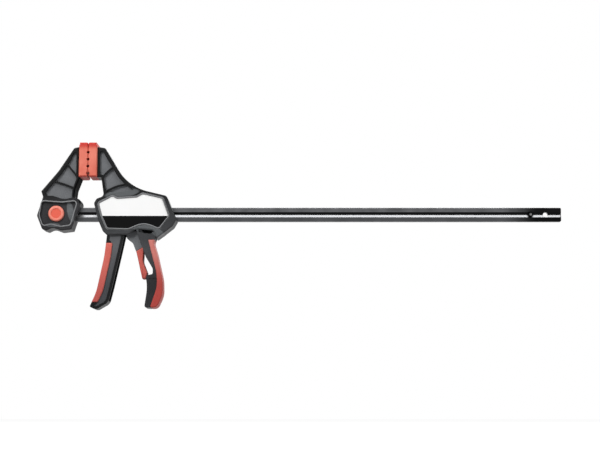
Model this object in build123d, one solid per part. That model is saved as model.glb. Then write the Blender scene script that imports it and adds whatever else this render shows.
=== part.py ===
from build123d import *
from math import radians, sin, tan
import os

# One-hand bar clamp: a steel bar with a fixed jaw locked on its left end and a sliding head
# with a moving jaw, a squeeze lever, a release trigger and a rear handle.
# X runs along the bar, Z up to the jaws, Y across; the origin is the centre of the fixed
# pad's face. Side outlines are given as (x, height above the bar's centreline, corner radius).

# Bar
bar_height = 18.0
bar_thickness = 6.5
bar_edge_radius = 1.0
groove_height = 6.5
groove_depth = 1.6
groove_floor = 0.8
bar_end_chamfer = 1.2
bar_tail_beyond_stop = 39.2
end_hole_radius = 3.15
end_hole_inset = 19.8
stop_pin_radius = 2.4
stop_pin_wall = 0.9
stop_pin_slit = 1.0
stop_pin_length = 15.0
max_opening = 450.0

# Pads
pad_centre_height = 69.1
pad_height = 44.2
pad_thickness = 11.5
pad_width = 34.0
pad_corner = 2.0
pad_edge = 1.4
pad_taper = 8.0
pad_taper_back = 1.3
pad_lip = 3.0
pad_lip_back = 0.9
pad_groove_radius = 1.7
pad_groove_pitch = 9.0
pad_groove_count = 4
pad_groove_drop = 4.0
pads_apart = 0.3
tongue_width = 18.0
tongue_depth = 4.0
tongue_margin = 7.0

# Moulded bodies
head_thickness = 30.0
handle_thickness = 25.0
cavity_width = 24.4
edge_bevel = 1.5
grip_edge = 1.0
panel_depth = 3.0
panel_rim = 5.0
pad_side_rim = 1.6
throat_rim = 3.4
rib_width = 2.2
slot_clearance = 0.25
button_recess_depth = 2.4
label_depth = 0.8
label_thickness = 0.5
label_rim_width = 1.5
label_rim_height = 0.6
rim_groove_width = 1.1
rim_groove_depth = 0.7
label_split_height = -3.1

# Screws, driven from the far side
screw_radius = 1.8
screw_head_radius = 3.5
screw_head_height = 2.4
screw_head_edge = 0.9
screw_length = 22.0
screw_sink = 1.2
screw_boss_radius = 5.2
screw_clearance = 0.1

# Lock button of the fixed jaw
button_x = -39.5
button_radius = 10.0
button_proud = 2.6
button_edge = 1.2
button_dish = 0.6
button_travel = 5.2
button_flange_radius = 12.4
button_flange = 2.0
button_clearance = 0.3
leg_thickness = 2.4
leg_width = 7.0
bridge_start = 4.0
bridge_thickness = 2.2
lock_pin_radius = 3.0
lock_pin_reach = 1.5
leaf_thickness = 0.5
leaf_width = 6.0
leaf_span = 21.0
lock_wall = 2.4

# Squeeze lever
pivot_x = 34.0
pivot_height = 15.0
pivot_pin_radius = 2.5
pivot_pin_length = 27.2
pivot_clearance = 0.05
lever_width = 23.6
lever_wall = 3.0
lever_boss_radius = 6.3
nose_x = 37.0
nose_height = -1.0
nose_radius = 5.0
lever_grip_depth = 3.0
grip_proud = 1.2
side_panel_depth = 0.7
side_panel_rim = 3.6

# Drive plates and their spring
plate_thickness = 2.5
plate_width = 22.0
plate_border = 3.2
plate_gap = 0.3
plate_clearance = 0.35
spring_steps = 14
drive_wire = 1.4
drive_spring_radius = 10.8
drive_spring_coils = 5.0
spring_seat_x = 62.0
seat_thickness = 2.5
cavity_top = 21.5
spring_seat_low = -12.5
hanger_low = 14.5
hanger_length = 9.0

# Brake plate, its spring and the release trigger
brake_x = 70.5
brake_height = 18.0
brake_thickness = 3.2
brake_tilt = 5.0
brake_width = 20.0
brake_window_clearance = 0.6
brake_notch_clearance = 0.45
brake_wide_end = -16.2
brake_tongue_width = 9.0
brake_tongue_end = -40.0
brake_spring_height = -13.3
brake_spring_radius = 2.8
brake_wire = 0.9
brake_spring_coils = 5.0
brake_seat_x = 80.0
trigger_width = 16.0
trigger_channel_width = 19.0
trigger_pad_depth = 2.2
trigger_pad_side = 1.8
trigger_pad_proud = 0.4
rear_grip_depth = 3.2

half = head_thickness / 2
bar_half = bar_height / 2
side = Plane(origin=(0, 0, -pad_centre_height), x_dir=(1, 0, 0), z_dir=(0, -1, 0))


def outline(*corners):
    """A closed side-view face whose corners are (x, height, radius)."""
    points = [(x, z) for x, z, _ in corners]
    return make_face(FilletPolyline(*points, radius=[r for _, _, r in corners], close=True).edges())


def slab(face, y_from, y_to):
    """The side-view face made solid between two distances across the clamp."""
    return extrude(side.offset(-y_from) * face, amount=y_from - y_to)


def rod(x, height, radius, y_from, y_to):
    return slab(Pos(x, height) * Circle(radius), y_from, y_to)


def block(x_from, x_to, z_from, z_to, y_from, y_to):
    face = Pos((x_from + x_to) / 2, (z_from + z_to) / 2) * Rectangle(x_to - x_from, z_to - z_from)
    return slab(face, y_from, y_to)


def swing(shape, x, height, degrees):
    """Turns a part about an axis across the clamp; positive takes low ends towards +X."""
    axis = Axis((x, 0, height - pad_centre_height), (0, -1, 0))
    return shape.rotate(axis, degrees)


def coil(start, direction, length, radius, wire, turns):
    """A compression spring that fills the length between its seats, in short straight runs."""
    run = length - wire
    curve = Helix(run / turns, run, radius)
    steps = round(spring_steps * turns)
    path = Polyline(*[curve @ (i / steps) for i in range(steps + 1)])
    section = Plane(origin=path @ 0, z_dir=path % 0) * RegularPolygon(wire / 2, 6)
    spring = sweep(section, path=path, transition=Transition.RIGHT)
    place = Plane(origin=start, z_dir=direction)
    return place * (Pos(0, 0, wire / 2) * spring)


# ---- Side outlines ----------------------------------------------------------------------
rear_top = (104.8, 12.0)
rear_low = (113.6, -7.5)
pad_low = pad_centre_height - pad_height / 2
pad_top = pad_centre_height + pad_height / 2
throat_floor = 21.0

head_outline = outline(
    (pad_thickness + pads_apart, pad_top - 5.4, 0.0), (21.8, pad_top - 6.8, 5.0), (51.6, 34.6, 60.0),
    (100.5, 22.8, 5.0), (*rear_top, 8.0), (*rear_low, 3.5), (108.5, -16.2, 5.0), (88.3, -31.8, 0.0),
    (84.5, -21.5, 5.0), (62.0, -19.5, 9.0), (53.5, -27.0, 5.0), (25.5, -27.8, 3.0), (20.0, -22.5, 4.0),
    (13.8, -8.0, 30.0), (8.2, 13.5, 4.0), (11.5, 19.2, 4.0), (20.6, 22.6, 4.5),
    (17.0, pad_low - pads_apart, 0.0), (pad_thickness + pads_apart, pad_low - pads_apart, 0.0),
)
head_arm_zone = outline(
    (0.0, 27.5, 0.0), (36.0, 27.0, 20.0), (80.0, 33.0, 0.0), (80.0, 120.0, 0.0), (0.0, 120.0, 0.0),
)
head_inner_zone = outline(
    (pad_thickness + pads_apart + pad_side_rim, 24.0, 0.0), (30.0, 24.0, 0.0), (24.0, pad_low, 0.0),
    (20.0, pad_top - 12.0, 0.0), (pad_thickness + pads_apart + pad_side_rim, pad_top - 12.0, 0.0),
)
handle_outline = outline(
    (60.0, -16.0, 0.0), (63.0, -24.0, 0.0), (74.8, -55.0, 10.0), (83.8, -70.0, 6.0), (83.8, -76.8, 2.0), (75.0, -78.8, 2.5),
    (77.2, -94.0, 60.0), (73.6, -119.2, 2.5), (89.5, -119.6, 7.0), (97.0, -103.0, 30.0),
    (96.6, -84.0, 60.0), (89.0, -51.0, 60.0), (84.4, -36.0, 8.0), (87.0, -31.0, 0.0), (88.0, -16.0, 0.0),
)
rear_grip_area = outline(
    (77.6, -33.4, 0.0), (81.6, -48.5, 40.0), (88.6, -75.0, 60.0), (89.6, -93.0, 40.0),
    (81.4, -117.5, 0.0), (84.0, -125.0, 0.0), (110.0, -125.0, 0.0), (110.0, -33.4, 0.0),
)
trigger_channel = outline(
    (58.0, -16.0, 0.0), (79.6, -16.0, 0.0), (79.6, -50.0, 20.0), (82.0, -62.0, 12.0),
    (86.8, -73.0, 6.0), (86.8, -84.6, 2.0), (68.0, -84.6, 0.0), (58.0, -45.0, 0.0),
)
cavity = outline(
    (24.0, cavity_top, 2.0), (92.0, cavity_top, 3.0), (97.0, 9.5, 2.0), (97.0, -15.0, 2.0), (92.0, -17.0, 1.0),
    (63.5, -17.0, 0.5), (63.5, -45.0, 0.0), (24.0, -45.0, 0.0),
)
label_outline = outline(
    (14.8, 13.2, 2.0), (31.8, 22.0, 4.0), (37.5, 18.8, 6.0), (63.0, 20.8, 4.0), (70.0, 25.0, 4.0),
    (94.8, 19.2, 3.0), (102.8, -2.8, 3.0), (91.0, -18.4, 3.0), (72.0, -10.6, 24.0),
    (52.5, -19.0, 6.0), (26.0, -18.2, 3.0), (18.5, -1.0, 12.0),
)
fixed_outline = outline(
    (-pad_thickness, pad_top - 5.4, 0.0), (-18.0, pad_top - 6.8, 4.0), (-37.5, 54.5, 60.0), (-59.0, 28.6, 0.0),
    (-56.6, 21.5, 3.0), (-63.9, -2.6, 5.0), (-57.0, -19.8, 3.0), (-51.2, -21.8, 0.0),
    (-43.8, -17.8, 9.0), (-33.0, -22.0, 6.0), (-19.6, -20.3, 0.0), (-15.8, -8.5, 30.0),
    (-8.2, 13.5, 4.0), (-10.4, 18.4, 4.0), (-16.8, throat_floor, 3.0),
    (-15.6, throat_floor + 0.4 * (pad_low - throat_floor), 14.0), (-9.9, pad_low - pads_apart, 0.0),
    (-pad_thickness, pad_low - pads_apart, 0.0),
)
fixed_arm_zone = outline(
    (-80.0, 22.6, 0.0), (-44.0, 22.6, 8.0), (-30.0, 18.2, 12.0), (0.0, 24.0, 0.0), (0.0, 120.0, 0.0),
    (-80.0, 120.0, 0.0),
)
fixed_inner_zone = outline(
    (-pad_thickness - pad_side_rim, 18.0, 0.0), (-pad_thickness - pad_side_rim, pad_top - 12.0, 0.0),
    (-20.0, pad_top - 14.0, 0.0), (-25.0, pad_low, 0.0), (-26.0, 18.0, 0.0),
)
fixed_block_panel = outline(
    (-57.5, 15.5, 3.0), (-32.0, 13.5, 18.0), (-13.4, 15.8, 3.0), (-21.6, -14.2, 3.0),
    (-34.0, -16.0, 12.0), (-45.0, -12.8, 12.0), (-55.5, -15.0, 3.0), (-60.0, -2.6, 5.0),
)
lever_outline = outline(
    (27.6, 15.0, 0.0), (25.2, -27.0, 60.0), (22.3, -54.0, 150.0), (12.8, -99.5, 60.0),
    (4.6, -118.2, 1.6), (13.0, -121.8, 6.0), (28.0, -113.0, 11.0), (33.2, -92.0, 40.0),
    (42.0, -52.0, 150.0), (47.4, -26.8, 3.0), (37.6, -19.0, 5.0), (36.0, -10.0, 8.0), (40.2, 15.0, 0.0),
)
lever_hollow = outline(
    (0.0, 40.0, 0.0), (70.0, 40.0, 0.0), (70.0, -110.5, 0.0), (17.6, -110.5, 3.0),
    (19.6, -99.5, 40.0), (29.0, -54.0, 120.0), (31.7, -30.0, 60.0), (31.7, -14.0, 1.5), (0.0, -14.0, 0.0),
)
lever_grip_area = outline(
    (0.0, -37.2, 0.0), (32.4, -37.2, 1.6), (30.8, -54.0, 120.0),
    (21.6, -98.0, 40.0), (15.0, -112.5, 3.0), (0.0, -112.5, 0.0),
)
trigger_outline = outline(
    (50.0, -22.0, 1.0), (50.2, -31.0, 1.5), (57.6, -36.5, 8.0), (62.6, -49.5, 4.0),
    (70.2, -82.6, 1.2), (75.4, -82.2, 2.0), (76.8, -75.0, 2.0), (71.2, -61.0, 10.0),
    (71.8, -46.0, 8.0), (70.6, -22.0, 1.0),
)
trigger_pad_area = outline((50.0, -55.0, 0.0), (82.0, -35.0, 0.0), (82.0, -95.0, 0.0), (50.0, -95.0, 0.0))
neck_window = outline(
    (65.2, -16.0, 0.0), (65.2, -22.4, 1.0), (69.0, -24.6, 3.0), (80.0, -25.6, 3.0), (84.0, -23.6, 1.0),
    (84.0, -16.0, 0.0),
)


# ---- Bar ---------------------------------------------------------------------------------
def height_on_rear(height):
    """The x of the head's sloping rear end at a height."""
    share = (rear_top[1] - height) / (rear_top[1] - rear_low[1])
    return rear_top[0] + share * (rear_low[0] - rear_top[0])


bar_start = button_x - end_hole_inset
stop_x = height_on_rear(-stop_pin_radius) + max_opening + slot_clearance + stop_pin_radius
bar_end = stop_x + bar_tail_beyond_stop
bar_length = bar_end - bar_start
end_hole_x = bar_end - end_hole_inset

bar_section = RectangleRounded(bar_thickness, bar_height, bar_edge_radius)
groove = Polygon(
    (0, -groove_height / 2), (groove_depth, -groove_floor / 2), (groove_depth, groove_floor / 2),
    (0, groove_height / 2), (-groove_depth, groove_height / 2), (-groove_depth, -groove_height / 2),
    align=None,
)
bar_section -= Pos(-bar_thickness / 2, 0) * groove
bar_section -= Pos(bar_thickness / 2, 0) * mirror(groove, Plane.YZ)
across = Plane(origin=(bar_start, 0, -pad_centre_height), x_dir=(0, 1, 0), z_dir=(1, 0, 0))
bar = extrude(across * bar_section, amount=bar_length)
bar_side = Pos((bar_start + bar_end) / 2, 0) * Rectangle(bar_length, bar_height)
bar &= slab(chamfer(bar_side.vertices(), bar_end_chamfer), -bar_thickness / 2, bar_thickness / 2)
for hole_x in (button_x, end_hole_x):
    bar -= rod(hole_x, 0, end_hole_radius, -half, half)
bar -= rod(stop_x, 0, stop_pin_radius, -half, half)

stop_pin = rod(stop_x, 0, stop_pin_radius, -stop_pin_length / 2, stop_pin_length / 2)
stop_pin -= rod(stop_x, 0, stop_pin_radius - stop_pin_wall, -half, half)
stop_pin -= block(stop_x, stop_x + 2 * stop_pin_radius, -stop_pin_slit / 2, stop_pin_slit / 2, -half, half)

bar_slot_half = bar_half + slot_clearance
bar_slot_side = bar_thickness / 2 + slot_clearance


def bar_slot(x_from, x_to):
    return block(x_from, x_to, -bar_slot_half, bar_slot_half, -bar_slot_side, bar_slot_side)


# ---- Pads --------------------------------------------------------------------------------
def pad():
    """A soft jaw pad with its face at x = 0, pushed on the jaw's tongue from the front."""
    profile = outline(
        (0, pad_top, pad_corner), (0, pad_low + pad_taper, 3.0), (pad_taper_back, pad_low, pad_corner),
        (pad_thickness, pad_low, 0.0), (pad_thickness, pad_top - pad_lip, 0.0),
        (pad_thickness - pad_lip_back, pad_top - pad_lip, 0.0), (pad_thickness - pad_lip_back, pad_top, 0.0),
    )
    body = slab(profile, -pad_width / 2, pad_width / 2)
    sides = body.faces().sort_by(Axis.Y)
    body = chamfer(sides[0].edges() + sides[-1].edges(), pad_edge)
    first = pad_centre_height - pad_groove_drop - pad_groove_pitch * (pad_groove_count - 1) / 2
    for i in range(pad_groove_count):
        body -= rod(0, first + i * pad_groove_pitch, pad_groove_radius, -half * 2, half * 2)
    return body - tongue(pad_thickness)


def tongue(face_x):
    """The jaw's tongue, standing out of its front face towards the pad."""
    return block(
        face_x - tongue_depth, face_x, pad_low + tongue_margin, pad_top - tongue_margin,
        -tongue_width / 2, tongue_width / 2,
    )


moving_pad = Pos(pads_apart, 0, 0) * pad()
fixed_pad = mirror(pad(), Plane.YZ)


# ---- Moulded half shells -----------------------------------------------------------------
def eased(face, reach, bevel):
    """A side-view face made solid to both sides alike, its outline edges bevelled."""
    solid = slab(face, -reach, reach)
    flat = [f for f in solid.faces().filter_by(Axis.Y) if abs(abs(f.center().Y) - reach) < 0.01]
    return chamfer(ShapeList([e for f in flat for e in f.edges()]), bevel)


def rib(*points):
    """A raised strip of the panel along a curve."""
    return trace(Spline(*points), rib_width)


def arm_panel(whole, zone, inner_zone, *ribs):
    """The sunk cells of a jaw arm: a wide rim outside, a narrow one towards pad and throat."""
    cells = offset(whole, -panel_rim) + (offset(whole, -throat_rim) & inner_zone)
    cells = cells & zone
    for strip in ribs:
        cells -= strip
    return cells


def halves(solid):
    """Splits a moulding along its parting plane into near and far half shells."""
    big = bar_length
    near = Pos(0, -big / 2, 0) * Box(2 * big, big, 2 * big)
    return solid & near, solid - near


def screw(x, height):
    """A pan-head screw from the far side, and the hole and counterbore it needs."""
    seat = half - screw_sink - screw_head_height
    head = rod(x, height, screw_head_radius, seat, seat + screw_head_height)
    head = chamfer(head.edges().sort_by(Axis.Y)[-1], screw_head_edge)
    shank = rod(x, height, screw_radius, seat - screw_length, seat)
    return head + shank


def screw_hole(x, height):
    seat = half - screw_sink - screw_head_height
    end = seat - screw_length - screw_clearance
    hole = rod(x, height, screw_radius + screw_clearance, end, seat)
    return hole + rod(x, height, screw_head_radius + 3 * screw_clearance, seat, half + 1)


def screw_boss(x, height):
    return rod(x, height, screw_boss_radius, 0, half)


# ---- Fixed jaw ---------------------------------------------------------------------------
fixed_screws = [(-17.8, 74.5), (-46.0, 31.0), (-51.0, -15.0), (-24.5, -15.2)]
fixed = eased(fixed_outline, half, edge_bevel)
fixed_cells = arm_panel(
    fixed_outline, fixed_arm_zone, fixed_inner_zone,
    rib((-33, 70), (-21, 56.5), (-10, 42)), rib((-52, 43), (-33, 38.6), (-12, 30)),
)
for y_from, y_to in ((-half - 1, -half + panel_depth), (half - panel_depth, half + 1)):
    fixed -= slab(fixed_cells, y_from, y_to)
block_rim = offset(fixed_block_panel, label_rim_width)
fixed += slab(block_rim, -half - label_rim_height, -half + label_depth) & slab(fixed_outline, -half - 1, 0)
fixed -= slab(fixed_block_panel, -half - 1, -half + button_recess_depth)
for place in fixed_screws:
    fixed += screw_boss(*place) & slab(fixed_outline, 0, half)
fixed += mirror(tongue(pad_thickness), Plane.YZ)
fixed -= bar_slot(bar_start - slot_clearance, 0)

button_top = -half - button_proud + button_recess_depth
flange_back = -bar_thickness / 2 - button_clearance - button_travel
flange_front = flange_back - button_flange
pocket_radius = button_flange_radius + button_clearance
fixed -= rod(button_x, 0, button_radius + button_clearance, -half - 1, 0)
fixed -= rod(button_x, 0, pocket_radius, flange_front - button_clearance, half - lock_wall)
for place in fixed_screws:
    fixed -= screw_hole(*place)
fixed_near, fixed_far = halves(fixed)
fixed_jaw_screws = [screw(*place) for place in fixed_screws]

# The button's head stands in the near half; two legs pass above and below the bar to a
# bridge on the far side, which carries the pin that locks the bar's end hole.
leg_low = bar_half + slot_clearance + button_clearance
button = rod(button_x, 0, button_radius, button_top, flange_front)
button = chamfer(button.edges().sort_by(Axis.Y)[0], button_edge)
button -= rod(button_x, 0, 0.64 * button_radius, button_top - 1, button_top + button_dish)
button += rod(button_x, 0, button_flange_radius, flange_front, flange_back)

legs = Part()
for low in (leg_low, -leg_low - leg_thickness):
    legs += block(
        button_x - leg_width / 2, button_x + leg_width / 2, low, low + leg_thickness,
        flange_back, bridge_start,
    )
bridge = block(
    button_x - leg_width / 2, button_x + leg_width / 2, -leg_low - leg_thickness,
    leg_low + leg_thickness, bridge_start, bridge_start + bridge_thickness,
)
lock_yoke = legs + bridge - rod(button_x, 0, lock_pin_radius / 2, bridge_start, half)
lock_pin = rod(button_x, 0, lock_pin_radius, -lock_pin_reach, bridge_start)
lock_pin = chamfer(lock_pin.edges().sort_by(Axis.Y)[0], 0.6)
lock_pin += rod(button_x, 0, lock_pin_radius / 2, bridge_start, bridge_start + bridge_thickness)

# An arched leaf spring stands in the far half's pocket and pushes on the back of the bridge.
leaf_low = bridge_start + bridge_thickness + leaf_thickness / 2
leaf_high = half - lock_wall - leaf_thickness / 2
leaf_arc = ThreePointArc(
    (button_x - leaf_span / 2, leaf_high), (button_x, leaf_low), (button_x + leaf_span / 2, leaf_high))
leaf = extrude(trace(leaf_arc, leaf_thickness), amount=leaf_width / 2, both=True)
lock_spring = Pos(0, 0, -pad_centre_height) * leaf

# ---- Moving head -------------------------------------------------------------------------
head_screws = [(18.2, 77.0), (38.0, 42.0), (103.0, -12.0), (93.5, -21.8), (84.5, -98.0)]
handle_half = handle_thickness / 2
grip_ring = handle_outline - offset(handle_outline, -rear_grip_depth)
handle_core = handle_outline - (grip_ring & rear_grip_area)
head = eased(head_outline, half, edge_bevel)
head_cells = arm_panel(
    head_outline, head_arm_zone, head_inner_zone,
    rib((12, 38), (23, 51.5), (38, 63.5)), rib((14, 21), (32, 32.8), (54, 38)),
)
for y_from, y_to in ((-half - 1, -half + panel_depth), (half - panel_depth, half + 1)):
    head -= slab(head_cells, y_from, y_to)
neck = slab(handle_core, -handle_half, handle_half) - slab(neck_window, -half, 0)
head += neck
handle_zone = outline((50, -78.5, 0), (120, -78.5, 0), (120, -130, 0), (50, -130, 0))
handle_low = handle_outline & handle_zone
handle_panel = offset(handle_low, -side_panel_rim) - rear_grip_area
for y_from, y_to in ((-half, -handle_half + side_panel_depth), (handle_half - side_panel_depth, half)):
    head -= slab(handle_panel, y_from, y_to) & slab(handle_core, -handle_half, handle_half)
for place in head_screws:
    reach = half if place[1] > -25 else handle_half
    head += rod(*place, screw_boss_radius, 0, reach) & slab(head_outline + handle_core, 0, half)
head += Pos(pads_apart, 0, 0) * tongue(pad_thickness)
label_rim = offset(label_outline, label_rim_width)
head -= slab(offset(label_rim, rim_groove_width) - label_rim, -half - 1, -half + rim_groove_depth)
head += slab(label_rim, -half - label_rim_height, -half + label_depth)
head -= slab(label_outline, -half - 1, -half + label_depth)

# Inside: the open cavity, the trigger's channel, then the seats that stand in them.
head -= slab(cavity, -cavity_width / 2, cavity_width / 2)
head -= slab(trigger_channel, -trigger_channel_width / 2, trigger_channel_width / 2)
seat_half = cavity_width / 2
head += block(
    spring_seat_x, spring_seat_x + seat_thickness, spring_seat_low, cavity_top, -seat_half, seat_half)
head += block(brake_seat_x, brake_seat_x + seat_thickness, -17.5, -bar_half, -seat_half, seat_half)
notch_half = brake_thickness / 2 + brake_notch_clearance
hanger_half = hanger_length / 2
head += block(
    brake_x - hanger_half, brake_x + hanger_half, hanger_low, cavity_top + 0.3, -seat_half, seat_half)
head -= block(brake_x - notch_half, brake_x + notch_half, 0, brake_height, -seat_half, seat_half)
head -= rod(brake_x, brake_height, notch_half, -seat_half, seat_half)
head -= bar_slot(0, rear_low[0] + 1)
pin_half = pivot_pin_length / 2
head -= rod(pivot_x, pivot_height, pivot_pin_radius, -pin_half, pin_half)
for place in head_screws:
    head -= screw_hole(*place)
head_near, head_far = halves(head)
housing_screws = [screw(*place) for place in head_screws]

label_zone = offset(label_outline, -0.15)
upper_zone = outline(
    (0, label_split_height, 0), (120, label_split_height, 0), (120, 40, 0), (0, 40, 0))
label_floor = -half + label_depth
label_upper = slab(label_zone & upper_zone, label_floor - label_thickness, label_floor)
label_lower = slab(label_zone - upper_zone, label_floor - label_thickness, label_floor)

grip_half = handle_half + grip_proud
rear_grip = eased(handle_outline & rear_grip_area, grip_half, grip_edge)
rear_grip -= slab(handle_core, -handle_half, handle_half)

# ---- Squeeze lever -----------------------------------------------------------------------
lever_half = lever_width / 2
lever_face = lever_outline + Pos(pivot_x, pivot_height) * Circle(lever_boss_radius)
lever_face += Pos(nose_x, nose_height) * Circle(nose_radius)
lever_ring = lever_outline - offset(lever_outline, -lever_grip_depth)
lever_core = lever_face - (lever_ring & lever_grip_area)
lever = slab(lever_core, -lever_half, lever_half)
lever -= slab(lever_hollow, -lever_half + lever_wall, lever_half - lever_wall)
lever_zone = outline((0, -24, 0), (60, -24, 0), (60, -130, 0), (0, -130, 0))
lever_panel = offset(lever_core & lever_zone, -side_panel_rim) - lever_grip_area
for y_from, y_to in ((-half, -lever_half + side_panel_depth), (lever_half - side_panel_depth, half)):
    lever -= slab(lever_panel, y_from, y_to)
lever -= rod(pivot_x, pivot_height, pivot_pin_radius + pivot_clearance, -half, half)
lever_pin = rod(pivot_x, pivot_height, pivot_pin_radius, -pin_half, pin_half)

lever_grip_half = lever_half + grip_proud
lever_grip = eased(lever_outline & lever_grip_area, lever_grip_half, grip_edge)
lever_grip -= slab(lever_core, -lever_half, lever_half)

# ---- Drive plates and spring -------------------------------------------------------------
plate_front = nose_x + nose_radius + plate_clearance
plate_reach = bar_half + plate_clearance + plate_border


def drive_plate(front):
    blank = block(front, front + plate_thickness, -plate_reach, plate_reach, -plate_width / 2, plate_width / 2)
    opening = block(
        front, front + plate_thickness, -bar_half - plate_clearance, bar_half + plate_clearance,
        -bar_thickness / 2 - plate_clearance, bar_thickness / 2 + plate_clearance,
    )
    return blank - opening


second_front = plate_front + plate_thickness + plate_gap
drive_plates = [drive_plate(plate_front), drive_plate(second_front)]
drive_back = second_front + plate_thickness
drive_spring = coil(
    (drive_back, 0, -pad_centre_height), (1, 0, 0), spring_seat_x - drive_back,
    drive_spring_radius, drive_wire, drive_spring_coils,
)

# ---- Brake plate, trigger and brake spring -----------------------------------------------
brake_half = brake_thickness / 2
brake_face = Pos(0, (brake_height + brake_wide_end) / 2) * Rectangle(
    brake_width, brake_height - brake_wide_end)
brake_face += Pos(0, (brake_height + brake_tongue_end) / 2) * Rectangle(
    brake_tongue_width, brake_height - brake_tongue_end)
brake_face -= Rectangle(
    bar_thickness + 2 * plate_clearance, bar_height + 2 * brake_window_clearance)
brake_plane = Plane(
    origin=(brake_x - brake_half, 0, -pad_centre_height), x_dir=(0, 1, 0), z_dir=(1, 0, 0))
brake_square = extrude(brake_plane * brake_face, amount=brake_thickness)
brake_square += rod(brake_x, brake_height, brake_half, -brake_width / 2, brake_width / 2)
brake_plate = swing(brake_square, brake_x, brake_height, -brake_tilt)

trigger_half = trigger_width / 2
core_half = trigger_half - trigger_pad_side
trigger = slab(trigger_outline - trigger_pad_area, -trigger_half, trigger_half)
trigger += slab(offset(trigger_outline, -trigger_pad_depth), -core_half, core_half)
trigger_pad = eased(trigger_outline & trigger_pad_area, trigger_half + trigger_pad_proud, grip_edge)
trigger_pad -= trigger
trigger -= brake_plate

lean = (brake_height - brake_spring_height) * tan(radians(brake_tilt))
spring_from = brake_x - lean + (brake_half + brake_spring_radius * sin(radians(brake_tilt)) + 0.3)
brake_spring = coil(
    (spring_from, 0, brake_spring_height - pad_centre_height), (1, 0, 0), brake_seat_x - spring_from,
    brake_spring_radius, brake_wire, brake_spring_coils,
)

# ---- Export ------------------------------------------------------------------------------
nodes = {
    "bar": bar,
    "stop_pin": stop_pin,
    "fixed_jaw_near_shell": fixed_near,
    "fixed_jaw_far_shell": fixed_far,
    "fixed_jaw_screws": fixed_jaw_screws,
    "fixed_jaw_pad": fixed_pad,
    "lock_button": button,
    "lock_yoke": lock_yoke,
    "lock_pin": lock_pin,
    "lock_spring": lock_spring,
    "head_near_shell": head_near,
    "head_far_shell": head_far,
    "head_screws": housing_screws,
    "label_upper": label_upper,
    "label_lower": label_lower,
    "rear_handle_grip": rear_grip,
    "moving_jaw_pad": moving_pad,
    "lever_pivot_pin": lever_pin,
    "drive_lever": lever,
    "lever_grip": lever_grip,
    "drive_plates": drive_plates,
    "drive_spring": drive_spring,
    "brake_plate": brake_plate,
    "brake_spring": brake_spring,
    "release_trigger": trigger,
    "trigger_pad": trigger_pad,
}
os.makedirs("parts", exist_ok=True)
for name, shape in nodes.items():
    solids = shape if isinstance(shape, list) else shape.solids()
    export_step(Compound(children=list(solids)), f"parts/{name}.step")
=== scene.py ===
import bpy, bmesh
from math import cos, pi, radians
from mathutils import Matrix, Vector
from mathutils.bvhtree import BVHTree


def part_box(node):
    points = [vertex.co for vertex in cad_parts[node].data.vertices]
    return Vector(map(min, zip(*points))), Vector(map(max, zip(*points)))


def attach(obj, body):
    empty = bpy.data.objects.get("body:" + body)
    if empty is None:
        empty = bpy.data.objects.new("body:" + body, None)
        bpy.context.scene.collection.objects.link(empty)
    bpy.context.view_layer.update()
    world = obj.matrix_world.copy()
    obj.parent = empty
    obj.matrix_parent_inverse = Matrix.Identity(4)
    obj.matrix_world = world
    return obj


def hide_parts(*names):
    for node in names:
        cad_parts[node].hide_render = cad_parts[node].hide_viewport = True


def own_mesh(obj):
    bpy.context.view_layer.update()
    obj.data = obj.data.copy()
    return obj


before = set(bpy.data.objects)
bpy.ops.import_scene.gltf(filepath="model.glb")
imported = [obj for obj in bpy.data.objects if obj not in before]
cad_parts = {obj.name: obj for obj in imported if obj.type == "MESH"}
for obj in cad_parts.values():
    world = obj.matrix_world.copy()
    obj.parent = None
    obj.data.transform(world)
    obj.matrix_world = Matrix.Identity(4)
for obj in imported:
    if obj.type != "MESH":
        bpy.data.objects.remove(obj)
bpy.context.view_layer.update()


# ---- Steel bar ---------------------------------------------------------------------------
# Cold-drawn flat bar with a V groove along each side, cut to length, cross-drilled at both
# ends and blackened. It carries the fixed jaw and guides the head.
def linear(code):
    """The linear colour of an sRGB hex code."""
    parts = [int(code[i:i + 2], 16) / 255 for i in (1, 3, 5)]
    return (*[p / 12.92 if p <= 0.04045 else ((p + 0.055) / 1.055) ** 2.4 for p in parts], 1.0)


def add(tree, kind, feeds=(), **settings):
    """Adds one node with its settings. A feed is a socket's value, or the node or output it reads."""
    made = tree.nodes.new(kind)
    for name, value in settings.items():
        setattr(made, name, value)
    for socket, feed in dict(feeds).items():
        if isinstance(feed, bpy.types.Node):
            feed = feed.outputs[0]
        if isinstance(feed, bpy.types.NodeSocket):
            tree.links.new(feed, made.inputs[socket])
        else:
            made.inputs[socket].default_value = feed
    return made


def new_material(name, values):
    """A material with its shader set; returns it with its tree, shader and object coordinates."""
    material = bpy.data.materials.new(name)
    material.use_nodes = True
    tree = material.node_tree
    shader = tree.nodes["Principled BSDF"]
    for socket, value in values.items():
        shader.inputs[socket].default_value = value
    return material, tree, shader, add(tree, "ShaderNodeTexCoord").outputs["Object"]


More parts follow.
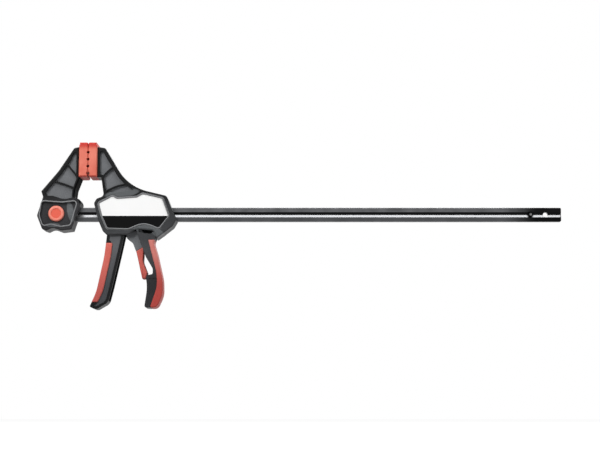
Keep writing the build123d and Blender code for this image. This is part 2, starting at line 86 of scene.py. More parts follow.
# Black oxide on drawn steel: a dark metal that mirrors softly along the drawing lines. They
# are about 1 mm apart with finer ones between, drawn coarser than real, and the oxide is
# uneven over about 17 mm.
bar_height = -0.0691
bar_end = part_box("bar")[1].x
pin_x = sum(corner.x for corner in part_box("stop_pin")) / 2
lines_per_metre = (14, 900, 900)
black_oxide_steel, tree, shader, place = new_material(
    "cold-drawn steel, black oxide", {"Metallic": 1.0, "Roughness": 0.32})
along = add(tree, "ShaderNodeMapping", {"Vector": place, "Scale": lines_per_metre})
lines = add(tree, "ShaderNodeTexNoise", {"Vector": along, "Scale": 1.0, "Detail": 4.0})
cloud = add(tree, "ShaderNodeTexNoise", {"Vector": place, "Scale": 60.0, "Detail": 3.0})
mixed = add(tree, "ShaderNodeMath", {0: lines, 1: 0.5, 2: cloud}, operation="MULTIPLY_ADD")
share = add(tree, "ShaderNodeMapRange", {"Value": mixed, "From Min": 0.4, "From Max": 1.0})
oxide = add(tree, "ShaderNodeMix", {"Factor": share, "A": linear("#5B5C5E"), "B": linear("#7F8083")},
            data_type="RGBA").outputs["Result"]

# Towards its free end the bar darkens to near black, and a ring round the stop pin is darkened.
darkening_start, darkening_full = bar_end - 0.075, bar_end - 0.03
pin_ring_full, pin_ring_out = 0.0032, 0.0052
where = add(tree, "ShaderNodeSeparateXYZ", {0: place}).outputs
end_darkening = add(tree, "ShaderNodeMapRange", {
    "Value": where[0], "From Min": darkening_start, "From Max": darkening_full, "To Max": 0.95},
    interpolation_type="SMOOTHSTEP")
on_side = add(tree, "ShaderNodeCombineXYZ", {0: where[0], 2: where[2]})
from_pin = add(tree, "ShaderNodeVectorMath", {0: on_side, 1: (pin_x, 0, bar_height)},
               operation="DISTANCE").outputs["Value"]
# A ring of the bar round the stop pin is darkened.
oiled = add(tree, "ShaderNodeMapRange", {
    "Value": from_pin, "From Min": pin_ring_full, "From Max": pin_ring_out, "To Min": 0.97, "To Max": 0.0})

# In the groove, the upper slope, which faces down, is painted dark as shade, and the lower one,
# which faces up, is painted bright as a highlight, but not the cut at the end. The flat below the
# groove is darker than the one above.
# Heights count from the bar's middle, and a slope has its middle and half its height.
upper_middle, upper_half = 0.0016, 0.00165
lower_middle, lower_half = -0.00175, 0.0015
flat_edge, flat_full = -0.0036, -0.0048
end_cut = bar_end - 0.0009
height = add(tree, "ShaderNodeMath", {0: where[2], 1: -bar_height}, operation="ADD")
upper = add(tree, "ShaderNodeMath", {0: height, 1: upper_middle, 2: upper_half}, operation="COMPARE")
lower = add(tree, "ShaderNodeMath", {0: height, 1: lower_middle, 2: lower_half}, operation="COMPARE")
under = add(tree, "ShaderNodeMapRange", {
    "Value": height, "From Min": flat_edge, "From Max": flat_full, "To Max": 0.6},
    interpolation_type="SMOOTHSTEP")
before_cut = add(tree, "ShaderNodeMath", {0: where[0], 1: end_cut}, operation="LESS_THAN")
lower_slope_highlight = add(tree, "ShaderNodeMath", {0: lower, 1: before_cut}, operation="MULTIPLY")
# Painted in turn: the flat below the groove darker, the end darkened, a painted highlight on the lower
# slope, painted shade on the upper slope, and the ring round the stop pin darkened.
colour = oxide
for cover, paint in ((under, "#47484A"), (end_darkening, "#0C0C0D"), (lower_slope_highlight, "#919294"), (upper, "#141415"),
                     (oiled, "#0A0A0B")):
    colour = add(tree, "ShaderNodeMix", {"Factor": cover, "A": colour, "B": linear(paint)},
                 data_type="RGBA").outputs["Result"]
tree.links.new(colour, shader.inputs["Base Color"])
bump = add(tree, "ShaderNodeBump", {"Strength": 0.15, "Distance": 0.0001, "Height": lines})
tree.links.new(bump.outputs[0], shader.inputs["Normal"])


def finish(node, material):
    """Gives a CAD node that stays as it is its finished material."""
    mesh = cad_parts[node].data
    mesh.materials.clear()
    mesh.materials.append(material)


finish("bar", black_oxide_steel)

# ---- Stop pin ----------------------------------------------------------------------------
# Slotted spring pin driven through the bar, so that the head can't run off its end. Rolled
# from strip, hardened and oiled black.


def clouded(name, values, per_metre, detail, dark, pale):
    """A material whose colour wanders from dark to pale, in so many clouds to the metre."""
    material, tree, shader, place = new_material(name, values)
    cloud = add(tree, "ShaderNodeTexNoise", {"Vector": place, "Scale": per_metre, "Detail": detail})
    tone = add(tree, "ShaderNodeMix", {"Factor": cloud, "A": linear(dark), "B": linear(pale)},
               data_type="RGBA")
    tree.links.new(tone.outputs["Result"], shader.inputs["Base Color"])
    return material


# Tempered and oiled: a nearly black metal with a tight shine and a grain of 0.4 mm.
spring_steel = clouded("spring steel, tempered and oiled", {"Metallic": 1.0, "Roughness": 0.3},
                       2500.0, 2.0, "#1C1D1E", "#333436")
finish("stop_pin", spring_steel)

# ---- Fixed jaw ---------------------------------------------------------------------------
# Two half shells moulded in glass-filled nylon and screwed together round the bar's end.
# Their rims are polished in the mould, their sunk panels have a spark-eroded grain.


def nylon(name, bands, mottle, roughness, depth, shine, matt=()):
    """Moulded nylon: a grain of about 0.7 mm, drawn coarser than real so that it shows, on flow
    marks about 40 mm wide. The bands are its colours at heights, lowest first, and mottle is how
    far grain and flow lighten and darken them. Each matt spot is an oval of the grained colour,
    a painted reflection: its middle, turn and half sizes."""
    lowest, highest = -0.2, 0.05
    reflection_grey, soft_edge = linear("#5D6062"), 0.08
    material, tree, shader, place = new_material(
        name, {"Roughness": roughness, "IOR": 1.53, "Specular IOR Level": shine})
    height = add(tree, "ShaderNodeSeparateXYZ", {0: place}).outputs[2]
    level = add(tree, "ShaderNodeMapRange", {"Value": height, "From Min": lowest, "From Max": highest})
    tone = add(tree, "ShaderNodeValToRGB", {0: level})
    while len(tone.color_ramp.elements) < len(bands):
        tone.color_ramp.elements.new(0.5)
    for stop, (z, colour) in zip(tone.color_ramp.elements, bands):
        stop.position = (z - lowest) / (highest - lowest)
        stop.color = linear(colour)
    for x, z, turned, half_width, half_height in matt:
        spot = add(tree, "ShaderNodeMapping", {
            "Vector": place, "Location": (x, 0, z), "Rotation": (0, radians(turned), 0),
            "Scale": (half_width, 1, half_height)}, vector_type="TEXTURE")
        out_by = add(tree, "ShaderNodeVectorMath", {0: spot}, operation="LENGTH").outputs["Value"]
        inside = add(tree, "ShaderNodeMapRange", {
            "Value": out_by, "From Min": 1 + soft_edge, "From Max": 1 - soft_edge})
        tone = add(tree, "ShaderNodeMix", {"Factor": inside, "A": tone, "B": reflection_grey},
                   data_type="RGBA").outputs["Result"]
    grain = add(tree, "ShaderNodeTexNoise", {"Vector": place, "Scale": 1400.0, "Detail": 2.0})
    flow = add(tree, "ShaderNodeTexNoise", {"Vector": place, "Scale": 25.0, "Detail": 3.0})
    both = add(tree, "ShaderNodeMath", {0: grain, 1: flow}, operation="ADD")
    share = add(tree, "ShaderNodeMapRange", {
        "Value": both, "From Min": 0.7, "From Max": 1.3, "To Min": 1 - mottle, "To Max": 1 + mottle})
    mottled = add(tree, "ShaderNodeHueSaturation", {"Color": tone, "Value": share})
    tree.links.new(mottled.outputs[0], shader.inputs["Base Color"])
    bump = add(tree, "ShaderNodeBump", {"Strength": depth, "Distance": 0.0002, "Height": grain})
    tree.links.new(bump.outputs[0], shader.inputs["Normal"])
    return material


# Polished nylon: near black with a clear soft sheen, but greyer in the low parts of the jaw, and
# with grey ovals of painted reflection on its near half. The throat's wall is painted near black
# as shade, is matt and hardly mirrors at all. Grained nylon is matt, so it looks greyer.
polished = {"roughness": 0.42, "depth": 0.05, "shine": 0.15}
jaw_bands = (-0.058, "#313133"), (-0.045, "#0F1011")
jaw_nylon = nylon("glass-filled nylon, polished mould, jaw far half", jaw_bands, mottle=0.3, **polished)
block_nylon = nylon("glass-filled nylon, polished mould, jaw near half", jaw_bands, mottle=0.5, **polished,
                    matt=((-0.0213, -0.0668, 78, 0.0135, 0.0042), (-0.0435, -0.0838, 0, 0.009, 0.0028)))
# The throat's wall: near black as painted shade, and matt.
shaded_nylon = nylon("glass-filled nylon, matt, painted shade, throat", ((-0.058, "#0F1011"), (-0.045, "#0F1011")),
                     mottle=0.3, roughness=0.7, depth=0.05, shine=0.02)
grained_nylon = nylon("glass-filled nylon, spark-eroded grain", ((-0.05, "#6B6D70"), (-0.02, "#67696C")),
                      mottle=0.3, roughness=0.65, depth=0.5, shine=0.3)


def join_flats(form):
    """Joins the triangles of each flat face into polygons, none of which closes round a hole,
    and takes out corners that stand in a straight edge."""
    same_way = 0.99999
    left = set(form.faces)
    flats = []
    for start in list(form.faces):
        if start not in left:
            continue
        flat, corners, edges = {start: True}, set(start.verts), list(start.edges)
        left.discard(start)
        for edge in edges:
            for face in edge.link_faces:
                if face in left and face.normal.dot(start.normal) > same_way:
                    shared = sum(any(f in flat for f in e.link_faces) for e in face.edges)
                    if shared > 1 or not corners.issuperset(face.verts):
                        left.discard(face)
                        flat[face] = True
                        corners.update(face.verts)
                        edges.extend(face.edges)
        flats.append(list(flat))
    for flat in flats:
        if len(flat) > 1:
            bmesh.ops.dissolve_faces(form, faces=flat)
    straight = [v for v in form.verts if len(v.link_edges) == 2]
    bmesh.ops.dissolve_limit(form, angle_limit=radians(0.6), verts=straight, edges=[])


def shade(mesh, angle):
    """Smooth shading between faces that turn less than the angle from each other. A large flat
    face stays flat and the small faces round it turn."""
    spread = cos(angle)
    around = [[] for _ in mesh.vertices]
    for face in mesh.polygons:
        for corner in face.vertices:
            around[corner].append((face.normal.copy(), face.area))
    normals = []
    for face in mesh.polygons:
        for corner in face.vertices:
            total = sum((n * area for n, area in around[corner] if n.dot(face.normal) > spread), Vector())
            normals.append(total.normalized() if total.length > 0 else face.normal.copy())
    mesh.shade_smooth()
    mesh.normals_split_custom_set(normals)


def moulding(name, node, radius, material, body, slot, *patches):
    """Stands for a CAD node with the same form, its edges rounded as a mould rounds them.
    Each patch is (material, test of a face's centre and normal). A point that the rounding
    leaves off the form goes back on it, and none stands outside the node's box."""
    same_point, off_form = 2e-6, 0.45 * radius
    form = bmesh.new()
    form.from_mesh(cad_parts[node].data)
    bmesh.ops.remove_doubles(form, verts=form.verts, dist=same_point)
    join_flats(form)
    for face in form.faces:
        for i, (_, test) in enumerate(patches):
            if test(face.calc_center_median(), face.normal):
                face.material_index = i + 1
    mesh = bpy.data.meshes.new(name)
    form.to_mesh(mesh)
    moulded = BVHTree.FromBMesh(form)
    form.free()
    for each in (material, *[m for m, _ in patches]):
        mesh.materials.append(each)
    piece = bpy.data.objects.new(name, mesh)
    bpy.context.scene.collection.objects.link(piece)
    bevel = piece.modifiers.new("mould radius", "BEVEL")
    bevel.width = radius
    bevel.segments = 3
    bevel.angle_limit = radians(28)
    bevel.use_clamp_overlap = False
    bevel.miter_outer = "MITER_ARC"
    piece.data = bpy.data.meshes.new_from_object(piece.evaluated_get(bpy.context.evaluated_depsgraph_get()))
    piece.modifiers.clear()
    low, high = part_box(node)
    for point in piece.data.vertices:
        nearest, _, _, away = moulded.find_nearest(point.co)
        if away > off_form:
            point.co = nearest
        point.co = [min(max(place, least), most) for place, least, most in zip(point.co, low, high)]
    shade(piece.data, radians(50))
    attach(piece, body)
    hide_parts(node)
    return piece


# The jaw and the head are 30 mm across.
head_half = 0.015


def sunk(centre, normal):
    """The floors of the panels that are sunk 2.8 to 3.5 mm in the sides of jaw and head."""
    deepest, shallowest = 0.0115, head_half - 0.0028
    return abs(normal.y) > 0.99 and deepest < abs(centre.y) < shallowest and centre.z > -0.13


def raised(centre, normal):
    """The rims that stand round the label and the lock button, with the 0.7 mm deep groove
    outside them: the faces painted with a highlight."""
    groove_floor = -head_half + 0.0007
    return centre.y < -head_half - 0.0003 or normal.y < -0.99 and abs(centre.y - groove_floor) < 0.0001


def throat_wall(centre, normal):
    """The fixed jaw's wall that faces the throat, which is painted near black as shade."""
    return normal.x > 0.6 and -0.02 < centre.x < -0.005 and -0.056 < centre.z < -0.024


# The rims and the groove outside them are painted pale grey: a painted highlight where their
# edges catch the light.
mould_radius = 0.0004
rim_nylon = nylon("glass-filled nylon, rim, painted highlight", ((-0.1, "#7F8082"), (-0.04, "#7F8082")),
                  mottle=0.15, roughness=0.5, depth=0.3, shine=0.4)
moulding("fixed_jaw_near", "fixed_jaw_near_shell", mould_radius, block_nylon,
         "bar_and_fixed_jaw", "black_nylon",
         (grained_nylon, sunk), (rim_nylon, raised), (shaded_nylon, throat_wall))
moulding("fixed_jaw_far", "fixed_jaw_far_shell", mould_radius, jaw_nylon,
         "bar_and_fixed_jaw", "black_nylon",
         (grained_nylon, sunk), (shaded_nylon, throat_wall))

# ---- Jaw pads ----------------------------------------------------------------------------
# Soft pads of moulded thermoplastic rubber, pushed on a tongue of each jaw. Cross grooves
# keep round work in place.


def rubber(name, dark, pale, deep, *ends):
    """Matt soft rubber with a faint sheen at grazing angles and a moulded grain of about
    0.9 mm, drawn coarser than real. Its colour wanders from dark to pale in clouds about 20 mm
    wide, and turns to the deep colour from each end's first height to its second."""
    material, tree, shader, place = new_material(
        name, {"Roughness": 0.55, "IOR": 1.5, "Specular IOR Level": 0.3,
               "Sheen Weight": 0.05, "Sheen Roughness": 0.5})
    grain = add(tree, "ShaderNodeTexNoise", {"Vector": place, "Scale": 1100.0, "Detail": 2.0})
    cloud = add(tree, "ShaderNodeTexNoise", {"Vector": place, "Scale": 45.0, "Detail": 3.0})
    share = add(tree, "ShaderNodeMapRange", {"Value": cloud, "From Min": 0.3, "From Max": 0.7})
    tone = add(tree, "ShaderNodeMix", {"Factor": share, "A": linear(dark), "B": linear(pale)},
               data_type="RGBA")
    height = add(tree, "ShaderNodeSeparateXYZ", {0: place}).outputs[2]
    for from_z, to_z in ends:
        deepened = add(tree, "ShaderNodeMapRange", {"Value": height, "From Min": from_z, "From Max": to_z},
                   interpolation_type="SMOOTHSTEP")
        tone = add(tree, "ShaderNodeMix", {"Factor": deepened, "A": tone.outputs["Result"], "B": linear(deep)},
                   data_type="RGBA")
    tree.links.new(tone.outputs["Result"], shader.inputs["Base Color"])
    bump = add(tree, "ShaderNodeBump", {"Strength": 0.35, "Distance": 0.0002, "Height": grain})
    tree.links.new(bump.outputs[0], shader.inputs["Normal"])
    return material


# The pads' pale salmon is a painted sheen on their faces, which gives way to deep red at both ends.
red_rubber = rubber("thermoplastic rubber, moulded", "#D86956", "#E98470", "#C83A30",
                    (0.012, 0.019), (-0.0195, -0.0225))
moulding("fixed_pad", "fixed_jaw_pad", mould_radius, red_rubber, "bar_and_fixed_jaw", "red_rubber")
moulding("moving_pad", "moving_jaw_pad", mould_radius, red_rubber, "head", "red_rubber")

# ---- Lock button -------------------------------------------------------------------------
# Push button of nylon with a dished top. Its ring is painted paler than its dish, a painted
# highlight. Pressed in, it takes the lock pin out of the bar's hole, and the fixed jaw comes off.
button_radius = 0.0005
button_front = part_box("lock_button")[0].y

# Nylon coloured right through, with a fine grain: even in tone, with a soft shine. The ring's
# paler coral is a painted highlight.
smooth = {"mottle": 0.05, "roughness": 0.4, "depth": 0.08, "shine": 0.4}
ring_nylon = nylon("nylon, coral, painted highlight, fine grain", ((-0.09, "#EC8773"), (-0.06, "#EE8976")), **smooth)
dish_nylon = nylon("nylon, coloured red, fine grain", ((-0.09, "#E6614C"), (-0.06, "#E6614C")), **smooth)


def dish(centre, normal):
    """The button's dished top, which lies up to 1 mm behind its front edge."""
    return normal.y < -0.9 and 0.0003 < centre.y - button_front < 0.001


moulding("button", "lock_button", button_radius, ring_nylon, "lock_button", "red_nylon",
         (dish_nylon, dish))

# ---- Lock yoke, pin and leaf spring ------------------------------------------------------
# Zinc-plated stampings inside the fixed jaw: the yoke straddles the bar and carries the pin,
# and a leaf spring of spring steel presses on them. The button's travel flattens the spring.

# Bright zinc: a pale grey metal with a soft shine and a faint spangle of about 1 mm.
zinc_steel = clouded("steel, bright zinc plated", {"Metallic": 1.0, "Roughness": 0.32},
                     900.0, 3.0, "#8E9194", "#B9BBBE")
for node in ("lock_yoke", "lock_pin"):
    finish(node, zinc_steel)
leaf_radius, button_travel = 0.00012, 0.0052
leaf = moulding("leaf_spring", "lock_spring", leaf_radius, spring_steel,
                "bar_and_fixed_jaw", "spring_steel")
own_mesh(leaf)

# ---- Screws ------------------------------------------------------------------------------
# Self-tapping pan-head screws with a six-lobe recess, cold headed, thread rolled and zinc
# plated, driven from the far side into bosses of the near shells.


def new_tree(name, sizes, product):
    """A Geometry Nodes tree with its named inputs and one output; returns it with its inputs."""
    tree = bpy.data.node_groups.new(name, "GeometryNodeTree")
    for size, kind, value in sizes:
        made = tree.interface.new_socket(size, in_out="INPUT", socket_type=kind)
        if value is not None:
            made.default_value = value
    tree.interface.new_socket(product, in_out="OUTPUT", socket_type="NodeSocketGeometry")
    return tree, add(tree, "NodeGroupInput").outputs


head_height = 0.0024
screws, given = new_tree("screws on points", (
    ("Places", "NodeSocketGeometry", None), ("Head Radius", "NodeSocketFloat", 0.0035),
    ("Head Height", "NodeSocketFloat", head_height), ("Shank Radius", "NodeSocketFloat", 0.0018),
    ("Length", "NodeSocketFloat", 0.022), ("Pitch", "NodeSocketFloat", 0.0014),
    ("Recess Radius", "NodeSocketFloat", 0.0017), ("Seed", "NodeSocketInt", 7),
    ("Finish", "NodeSocketMaterial", None)), "Screws")

# The head is a lathed profile: recess floor, recess wall, dome, edge, under side. Its recess
# radius swells six times round.
lobe_depth = 0.13
grid = add(screws, "GeometryNodeMeshGrid", {"Size X": 1.0, "Size Y": 1.0, "Vertices X": 9, "Vertices Y": 73})
spot = add(screws, "ShaderNodeSeparateXYZ", {0: add(screws, "GeometryNodeInputPosition")}).outputs
share = add(screws, "ShaderNodeMath", {0: spot[0], 1: 0.5}, operation="ADD")
turn = add(screws, "ShaderNodeMath", {0: spot[1], 1: 2 * pi}, operation="MULTIPLY")
sixfold = add(screws, "ShaderNodeMath", {0: turn, 1: 6.0}, operation="MULTIPLY")
wave = add(screws, "ShaderNodeMath", {0: sixfold}, operation="COSINE")
lobes = add(screws, "ShaderNodeMath", {0: wave, 1: lobe_depth, 2: 1 - lobe_depth},
            operation="MULTIPLY_ADD")
profile = {}
for name, heights in (("recess", (0, 0.92, 1, 0, 0, 0, 0, 0, 0)),
                      ("dome", (0, 0, 0, 0.66, 0.85, 0.96, 1, 0.98, 0)),
                      ("rise", (0.35, 0.35, 1, 0.97, 0.86, 0.66, 0.4, 0, 0))):
    profile[name] = add(screws, "ShaderNodeFloatCurve", {"Value": share})
    points = profile[name].mapping.curves[0].points
    while len(points) < len(heights):
        points.new(0.5, 0.5)
    for i, height in enumerate(heights):
        points[i].location = (i / (len(heights) - 1), height)
        points[i].handle_type = "VECTOR"
    profile[name].mapping.update()
lobed = add(screws, "ShaderNodeMath", {0: given["Recess Radius"], 1: lobes}, operation="MULTIPLY")
recess = add(screws, "ShaderNodeMath", {0: lobed, 1: profile["recess"]}, operation="MULTIPLY")
out_by = add(screws, "ShaderNodeMath", {0: given["Head Radius"], 1: profile["dome"], 2: recess},
             operation="MULTIPLY_ADD")
rise = add(screws, "ShaderNodeMath", {0: given["Head Height"], 1: profile["rise"]}, operation="MULTIPLY")
drawn = add(screws, "ShaderNodeCombineXYZ", {0: out_by, 2: rise})
lathed = add(screws, "ShaderNodeVectorRotate", {"Vector": drawn, "Angle": turn}, rotation_type="Z_AXIS")
head = add(screws, "GeometryNodeSetPosition", {"Geometry": grid, "Position": lathed})
head = add(screws, "GeometryNodeMergeByDistance", {"Geometry": head, "Distance": 1e-6})

# The shank is a core with a ridge wound round it. The radii are shares of the shank's radius,
# the thread's run and its foot are shares of the screw's length.
core_share, ridge_share, run_share, foot_share = 0.78, 0.2, 0.9, -0.96
core_radius = add(screws, "ShaderNodeMath", {0: given["Shank Radius"], 1: core_share},
                  operation="MULTIPLY")
core = add(screws, "GeometryNodeMeshCylinder", {
    "Vertices": 20, "Radius": core_radius, "Depth": given["Length"]})
half_length = add(screws, "ShaderNodeMath", {0: given["Length"], 1: -0.5}, operation="MULTIPLY")
middle = add(screws, "ShaderNodeCombineXYZ", {2: half_length})
core = add(screws, "GeometryNodeTransform", {"Geometry": core, "Translation": middle})
run = add(screws, "ShaderNodeMath", {0: given["Length"], 1: run_share}, operation="MULTIPLY")
turns = add(screws, "ShaderNodeMath", {0: run, 1: given["Pitch"]}, operation="DIVIDE")
helix = add(screws, "GeometryNodeCurveSpiral", {
    "Resolution": 16, "Rotations": turns, "Start Radius": core_radius, "End Radius": core_radius,
    "Height": run})
ridge_radius = add(screws, "ShaderNodeMath", {0: given["Shank Radius"], 1: ridge_share},
                   operation="MULTIPLY")
ridge = add(screws, "GeometryNodeCurvePrimitiveCircle", {"Resolution": 4, "Radius": ridge_radius})
thread = add(screws, "GeometryNodeCurveToMesh", {"Curve": helix, "Profile Curve": ridge, "Fill Caps": True})
foot_height = add(screws, "ShaderNodeMath", {0: given["Length"], 1: foot_share}, operation="MULTIPLY")
foot = add(screws, "ShaderNodeCombineXYZ", {2: foot_height})
thread = add(screws, "GeometryNodeTransform", {"Geometry": thread, "Translation": foot})
joined = add(screws, "GeometryNodeJoinGeometry")
for part in (thread, core, head):
    screws.links.new(part.outputs[0], joined.inputs[0])

# Each screw lies along Y with its head to the far side, and is turned by chance about itself.
lying = add(screws, "GeometryNodeTransform", {"Geometry": joined, "Rotation": (-pi / 2, 0, 0)})
chance = add(screws, "FunctionNodeRandomValue", {
    "Min": (0, 0, 0), "Max": (0, 2 * pi, 0), "Seed": given["Seed"]}, data_type="FLOAT_VECTOR")
placed = add(screws, "GeometryNodeInstanceOnPoints", {
    "Points": given["Places"], "Instance": lying, "Rotation": chance})
real = add(screws, "GeometryNodeRealizeInstances", {0: placed})
plated = add(screws, "GeometryNodeSetMaterial", {"Geometry": real, "Material": given["Finish"]})
add(screws, "NodeGroupOutput", {0: plated})


def grown(name, tree, sizes, points, body, node):
    """A piece that a node tree makes from points, turned into a plain mesh that stands for a node."""
    mesh = bpy.data.meshes.new(name)
    mesh.from_pydata(points, [], [])
    piece = bpy.data.objects.new(name, mesh)
    bpy.context.scene.collection.objects.link(piece)
    growth = piece.modifiers.new(tree.name, "NODES")
    growth.node_group = tree
    for item in tree.interface.items_tree:
        if item.in_out == "INPUT" and item.name in sizes:
            growth[item.identifier] = sizes[item.name]
    piece.data = bpy.data.meshes.new_from_object(piece.evaluated_get(bpy.context.evaluated_depsgraph_get()))
    piece.modifiers.clear()
    shade(piece.data, radians(38))
    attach(piece, body)
    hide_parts(node)
    return piece


def screw_seats(node):
    """Where a node's screw heads sit in their counterbores, read from the rims of the node's
    heads. Rim points nearer to each other than two heads can be are of one head."""
    rim_depth, one_head = 0.0002, 0.008
    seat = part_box("head_screws")[1].y - head_height
    heads = {}
    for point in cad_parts[node].data.vertices:
        if point.co.y > seat - rim_depth:
            spot = (point.co.x, point.co.z)
            near = next((p for p in heads if (Vector(p) - Vector(spot)).length < one_head), spot)
            heads.setdefault(near, []).append(spot)
    return [((min(x for x, _ in rim) + max(x for x, _ in rim)) / 2, seat,
             (min(z for _, z in rim) + max(z for _, z in rim)) / 2) for rim in heads.values()]


for name, node, body in (("jaw_screws", "fixed_jaw_screws", "bar_and_fixed_jaw"),
                         ("housing_screws", "head_screws", "head")):
    grown(name, screws, {"Finish": zinc_steel}, screw_seats(node), body, node)

# ---- Head --------------------------------------------------------------------------------
# Two half shells of the same nylon: moving jaw, mechanism housing and rear handle in one
# moulding, with a raised rim round the label on the near side. The handle and the housing are
# greyer than the jaw above them, and three grey ovals above and below the label are painted
# reflections.
head_bands = (-0.145, "#2D2D2F"), (-0.115, "#424345"), (-0.06, "#353638"), (-0.044, "#0F1011")
head_nylon = nylon("glass-filled nylon, polished mould, far half", head_bands, mottle=0.3, **polished)
# On the near half, three grey ovals of painted reflection.
webbed_nylon = nylon("glass-filled nylon, polished mould, near half", head_bands, mottle=0.3, **polished,
                     matt=((0.044, -0.0434, -8, 0.0215, 0.0052), (0.072, -0.0866, 0, 0.015, 0.0052),
                           (0.0905, -0.0945, 35, 0.012, 0.005)))
moulding("head_near", "head_near_shell", mould_radius, webbed_nylon, "head", "black_nylon",
         (grained_nylon, sunk), (rim_nylon, raised))
moulding("head_far", "head_far_shell", mould_radius, head_nylon, "head", "black_nylon",
         (grained_nylon, sunk))

# ---- Label -------------------------------------------------------------------------------
# Two fields of printed film laid in the rim, white above and black below, left bare. The film
# has a satin shine, and the ink's density wanders a little over about 30 mm.
for node, name, dark, pale, roughness, shine in (
        ("label_upper", "polyester film, printed white, satin", "#F7F7F6", "#FCFCFC", 0.35, 0.3),
        ("label_lower", "polyester film, printed black, satin", "#050506", "#0A0A0B", 0.3, 0.1)):
    film = clouded(name, {"Roughness": roughness, "IOR": 1.55, "Specular IOR Level": shine},
                   30.0, 2.0, dark, pale)
    finish(node, film)

# ---- Rear handle grip --------------------------------------------------------------------
# Red soft rubber moulded over the back edge of the rear handle and a little round its sides,
# where the palm lies. The moulding alone holds it on the nylon.
soft_radius = 0.0006
# The grip's pale pink is a painted highlight, which gives way to deeper red towards the handle's end.
back_rubber = rubber("thermoplastic rubber, overmoulded, back", "#C87169", "#D7867D", "#AC3F38",
                     (-0.105, -0.165))
moulding("rear_grip", "rear_handle_grip", soft_radius, back_rubber, "head", "red_rubber")

# ---- Squeeze lever -----------------------------------------------------------------------
# One nylon moulding: a fork round the bar at the top, an open channel below, with the soft
# red front moulded over it. Its panels have the mould's grain and are painted darker towards the
# end as shade. It turns on a zinc-plated pin that lies in the head above the bar.
finish("lever_pivot_pin", zinc_steel)
# The panels are painted darker towards the lever's end as shade.
panel_nylon = nylon("glass-filled nylon, grain, painted shade to the end", ((-0.17, "#3A3B3F"), (-0.11, "#57585B")),
                    mottle=0.2, roughness=0.6, depth=0.4, shine=0.3)
# The red front is deeper in colour towards the lever's end.
front_rubber = rubber("thermoplastic rubber, overmoulded, front", "#C85B50", "#D76D61", "#BB544D",
                      (-0.11, -0.18))
lever_nylon = nylon("glass-filled nylon, polished mould, lever", ((-0.19, "#0C0D0E"), (-0.09, "#1C1D1E")),
                    mottle=0.3, **polished)


def panel(centre, normal):
    """The panels in the lever's sides, 10.5 to 11.3 mm from the clamp's middle."""
    return abs(normal.y) > 0.99 and 0.0105 < abs(centre.y) < 0.0113


moulding("lever", "drive_lever", mould_radius, lever_nylon, "squeeze_lever", "black_nylon",
         (panel_nylon, panel))
moulding("lever_front", "lever_grip", soft_radius, front_rubber, "squeeze_lever", "red_rubber")

# ---- Drive plates and brake plate --------------------------------------------------------
# Hardened steel plates with square-edged windows that bite on the bar when they tilt. Left as
# tempered, they are dull grey, with patches of scale about 2 mm wide.
hardened_steel = clouded("carbon steel, hardened, as tempered", {"Metallic": 1.0, "Roughness": 0.42},
                         500.0, 4.0, "#595A5D", "#7C7D80")
for node in ("drive_plates", "brake_plate"):
    finish(node, hardened_steel)

# ---- Coil springs ------------------------------------------------------------------------
# Cold-wound from round wire with closed ends. The wide one lies round the bar and returns the
# drive plates, the small one holds the brake plate tilted.
springs, given = new_tree("coil springs on points", (
    ("Places", "NodeSocketGeometry", None), ("Radius", "NodeSocketFloat", 0.0108),
    ("Wire Radius", "NodeSocketFloat", 0.0007), ("Length", "NodeSocketFloat", 0.0142),
    ("Coils", "NodeSocketFloat", 5.0), ("Finish", "NodeSocketMaterial", None)), "Springs")
helix = add(springs, "GeometryNodeCurveSpiral", {
    "Resolution": 28, "Rotations": given["Coils"], "Start Radius": given["Radius"],
    "End Radius": given["Radius"], "Height": 1.0})
spot = add(springs, "ShaderNodeSeparateXYZ", {0: add(springs, "GeometryNodeInputPosition")}).outputs

# The closed ends: the first and the last fifth of the wire climb less than the rest.
pitch = add(springs, "ShaderNodeFloatCurve", {"Value": spot[2]})
for share, height in ((0.2, 0.11), (0.8, 0.89)):
    pitch.mapping.curves[0].points.new(share, height)
pitch.mapping.update()
climb = add(springs, "ShaderNodeMath", {0: given["Wire Radius"], 1: -2.0, 2: given["Length"]},
            operation="MULTIPLY_ADD")
reach = add(springs, "ShaderNodeMath", {0: pitch, 1: climb, 2: given["Wire Radius"]},
            operation="MULTIPLY_ADD")
laid = add(springs, "ShaderNodeCombineXYZ", {0: reach, 1: spot[0], 2: spot[1]})
helix = add(springs, "GeometryNodeSetPosition", {"Geometry": helix, "Position": laid})
wire = add(springs, "GeometryNodeCurvePrimitiveCircle", {"Resolution": 10, "Radius": given["Wire Radius"]})
coil = add(springs, "GeometryNodeCurveToMesh", {"Curve": helix, "Profile Curve": wire, "Fill Caps": True})
placed = add(springs, "GeometryNodeInstanceOnPoints", {"Points": given["Places"], "Instance": coil})
real = add(springs, "GeometryNodeRealizeInstances", {0: placed})
tempered = add(springs, "GeometryNodeSetMaterial", {"Geometry": real, "Material": given["Finish"]})
add(springs, "NodeGroupOutput", {0: tempered})
for name, node, radius, wire_radius, joint, travel in (
        ("plate_spring", "drive_spring", 0.0108, 0.0007, "drive_plates_slide", 0.0057),
        ("brake_return", "brake_spring", 0.0028, 0.00045, "release_pull", 0.0027)):
    low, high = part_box(node)
    middle = (low + high) / 2
    spring = grown(name, springs, {
        "Radius": radius, "Wire Radius": wire_radius, "Length": high.x - low.x, "Finish": spring_steel},
        [(low.x, middle.y, middle.z)], "head", node)
    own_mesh(spring)

# ---- Release trigger ---------------------------------------------------------------------
# Nylon trigger on the brake plate's lower end, its finger part covered all round in red soft
# rubber. Pulled, it turns the plate upright, and the bar runs free.
moulding("trigger", "release_trigger", mould_radius, grained_nylon, "release", "black_nylon")
moulding("trigger_cover", "trigger_pad", soft_radius, front_rubber, "release", "red_rubber")

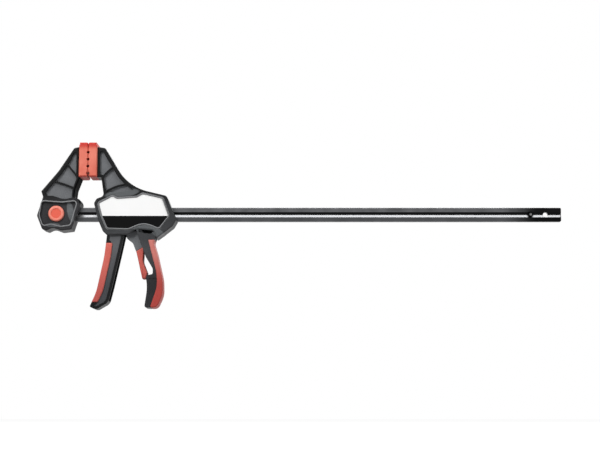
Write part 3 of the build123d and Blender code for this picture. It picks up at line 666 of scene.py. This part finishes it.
# ---- Studio ------------------------------------------------------------------------------
# White paper under the clamp in a white room, one soft light from the upper left, a strip
# overhead, a small light low on the right and a wide one behind.
floor_height, clamp_middle = -0.34, 0.27
floor_mesh = bpy.data.meshes.new("floor")
floor_form = bmesh.new()
bmesh.ops.create_grid(floor_form, x_segments=2, y_segments=2, size=8)
bmesh.ops.translate(floor_form, verts=floor_form.verts, vec=(clamp_middle, 0, floor_height))
floor_form.to_mesh(floor_mesh)
floor_form.free()
floor = bpy.data.objects.new("floor", floor_mesh)
bpy.context.scene.collection.objects.link(floor)


def seen_share(tree, in_gloss):
    """One for what the camera sees, the share given for what gloss and glass show, else nothing."""
    path = add(tree, "ShaderNodeLightPath").outputs
    mirrored = add(tree, "ShaderNodeMath", {0: path["Is Glossy Ray"], 1: path["Is Transmission Ray"]},
                   operation="MAXIMUM")
    softened = add(tree, "ShaderNodeMath", {0: mirrored, 1: in_gloss}, operation="MULTIPLY")
    return add(tree, "ShaderNodeMath", {0: path["Is Camera Ray"], 1: softened}, operation="MAXIMUM")


# Matt paper that is seen to glow, by the eye and in gloss, so that it is white. The glow lights
# nothing else, and the paper keeps the clamp's shadow.
paper_glow = 0.86
floor_paper, tree, shader, _ = new_material("studio paper, white", {
    "Roughness": 0.9, "Base Color": linear("#A2A2A2"), "Specular IOR Level": 0.0})
strength = add(tree, "ShaderNodeMath", {0: seen_share(tree, 0.7), 1: paper_glow}, operation="MULTIPLY")
glow = add(tree, "ShaderNodeEmission", {"Strength": strength})
lit = add(tree, "ShaderNodeAddShader", {0: shader, 1: glow})
tree.links.new(lit.outputs[0], tree.nodes["Material Output"].inputs["Surface"])
floor_mesh.materials.append(floor_paper)

# The room is white where it is seen, and gives a little light from all round.
room_light = 0.28
world = bpy.data.worlds.new("studio")
bpy.context.scene.world = world
world.use_nodes = True
tree = world.node_tree
tree.nodes.clear()
seen = add(tree, "ShaderNodeBackground", {"Color": (1, 1, 1, 1), "Strength": 1.0})
fill = add(tree, "ShaderNodeBackground", {"Color": (1, 1, 1, 1), "Strength": room_light})
blend = add(tree, "ShaderNodeMixShader", {0: seen_share(tree, 0.5), 1: fill, 2: seen})
add(tree, "ShaderNodeOutputWorld", {0: blend})
for name, spot, aim, size, watts in (
        ("key", (-0.9, -1.3, 1.0), (0.2, 0, -0.05), (0.6, 0.6), 23.5),
        ("overhead", (0.27, -0.55, 0.95), (0.27, 0, -0.07), (1.5, 0.4), 7),
        ("fill", (1.5, -0.55, -0.28), (0.12, 0, -0.08), (0.4, 0.2), 6),
        ("back", (0.7, 1.5, 0.9), (0.2, 0, -0.07), (1.4, 0.8), 22)):
    lamp = bpy.data.lights.new(name, "AREA")
    lamp.shape = "RECTANGLE"
    lamp.size, lamp.size_y = size
    lamp.energy = watts
    holder = bpy.data.objects.new(name, lamp)
    bpy.context.scene.collection.objects.link(holder)
    holder.location = spot
    holder.rotation_euler = (Vector(aim) - Vector(spot)).to_track_quat("-Z", "Y").to_euler()

# The camera stands far off with a long lens, lower than the bar, and looks up a little.
camera_data = bpy.data.cameras.new("camera")
camera_data.sensor_width = 36
camera_data.lens = 90
camera = bpy.data.objects.new("camera", camera_data)
bpy.context.scene.collection.objects.link(camera)
camera.location = (0.268, -1.9, -0.325)
camera_aim = Vector((0.27, 0, -0.082))
camera.rotation_euler = (camera_aim - camera.location).to_track_quat("-Z", "Y").to_euler()
bpy.context.scene.camera = camera
bpy.context.scene.view_settings.view_transform = "Standard"
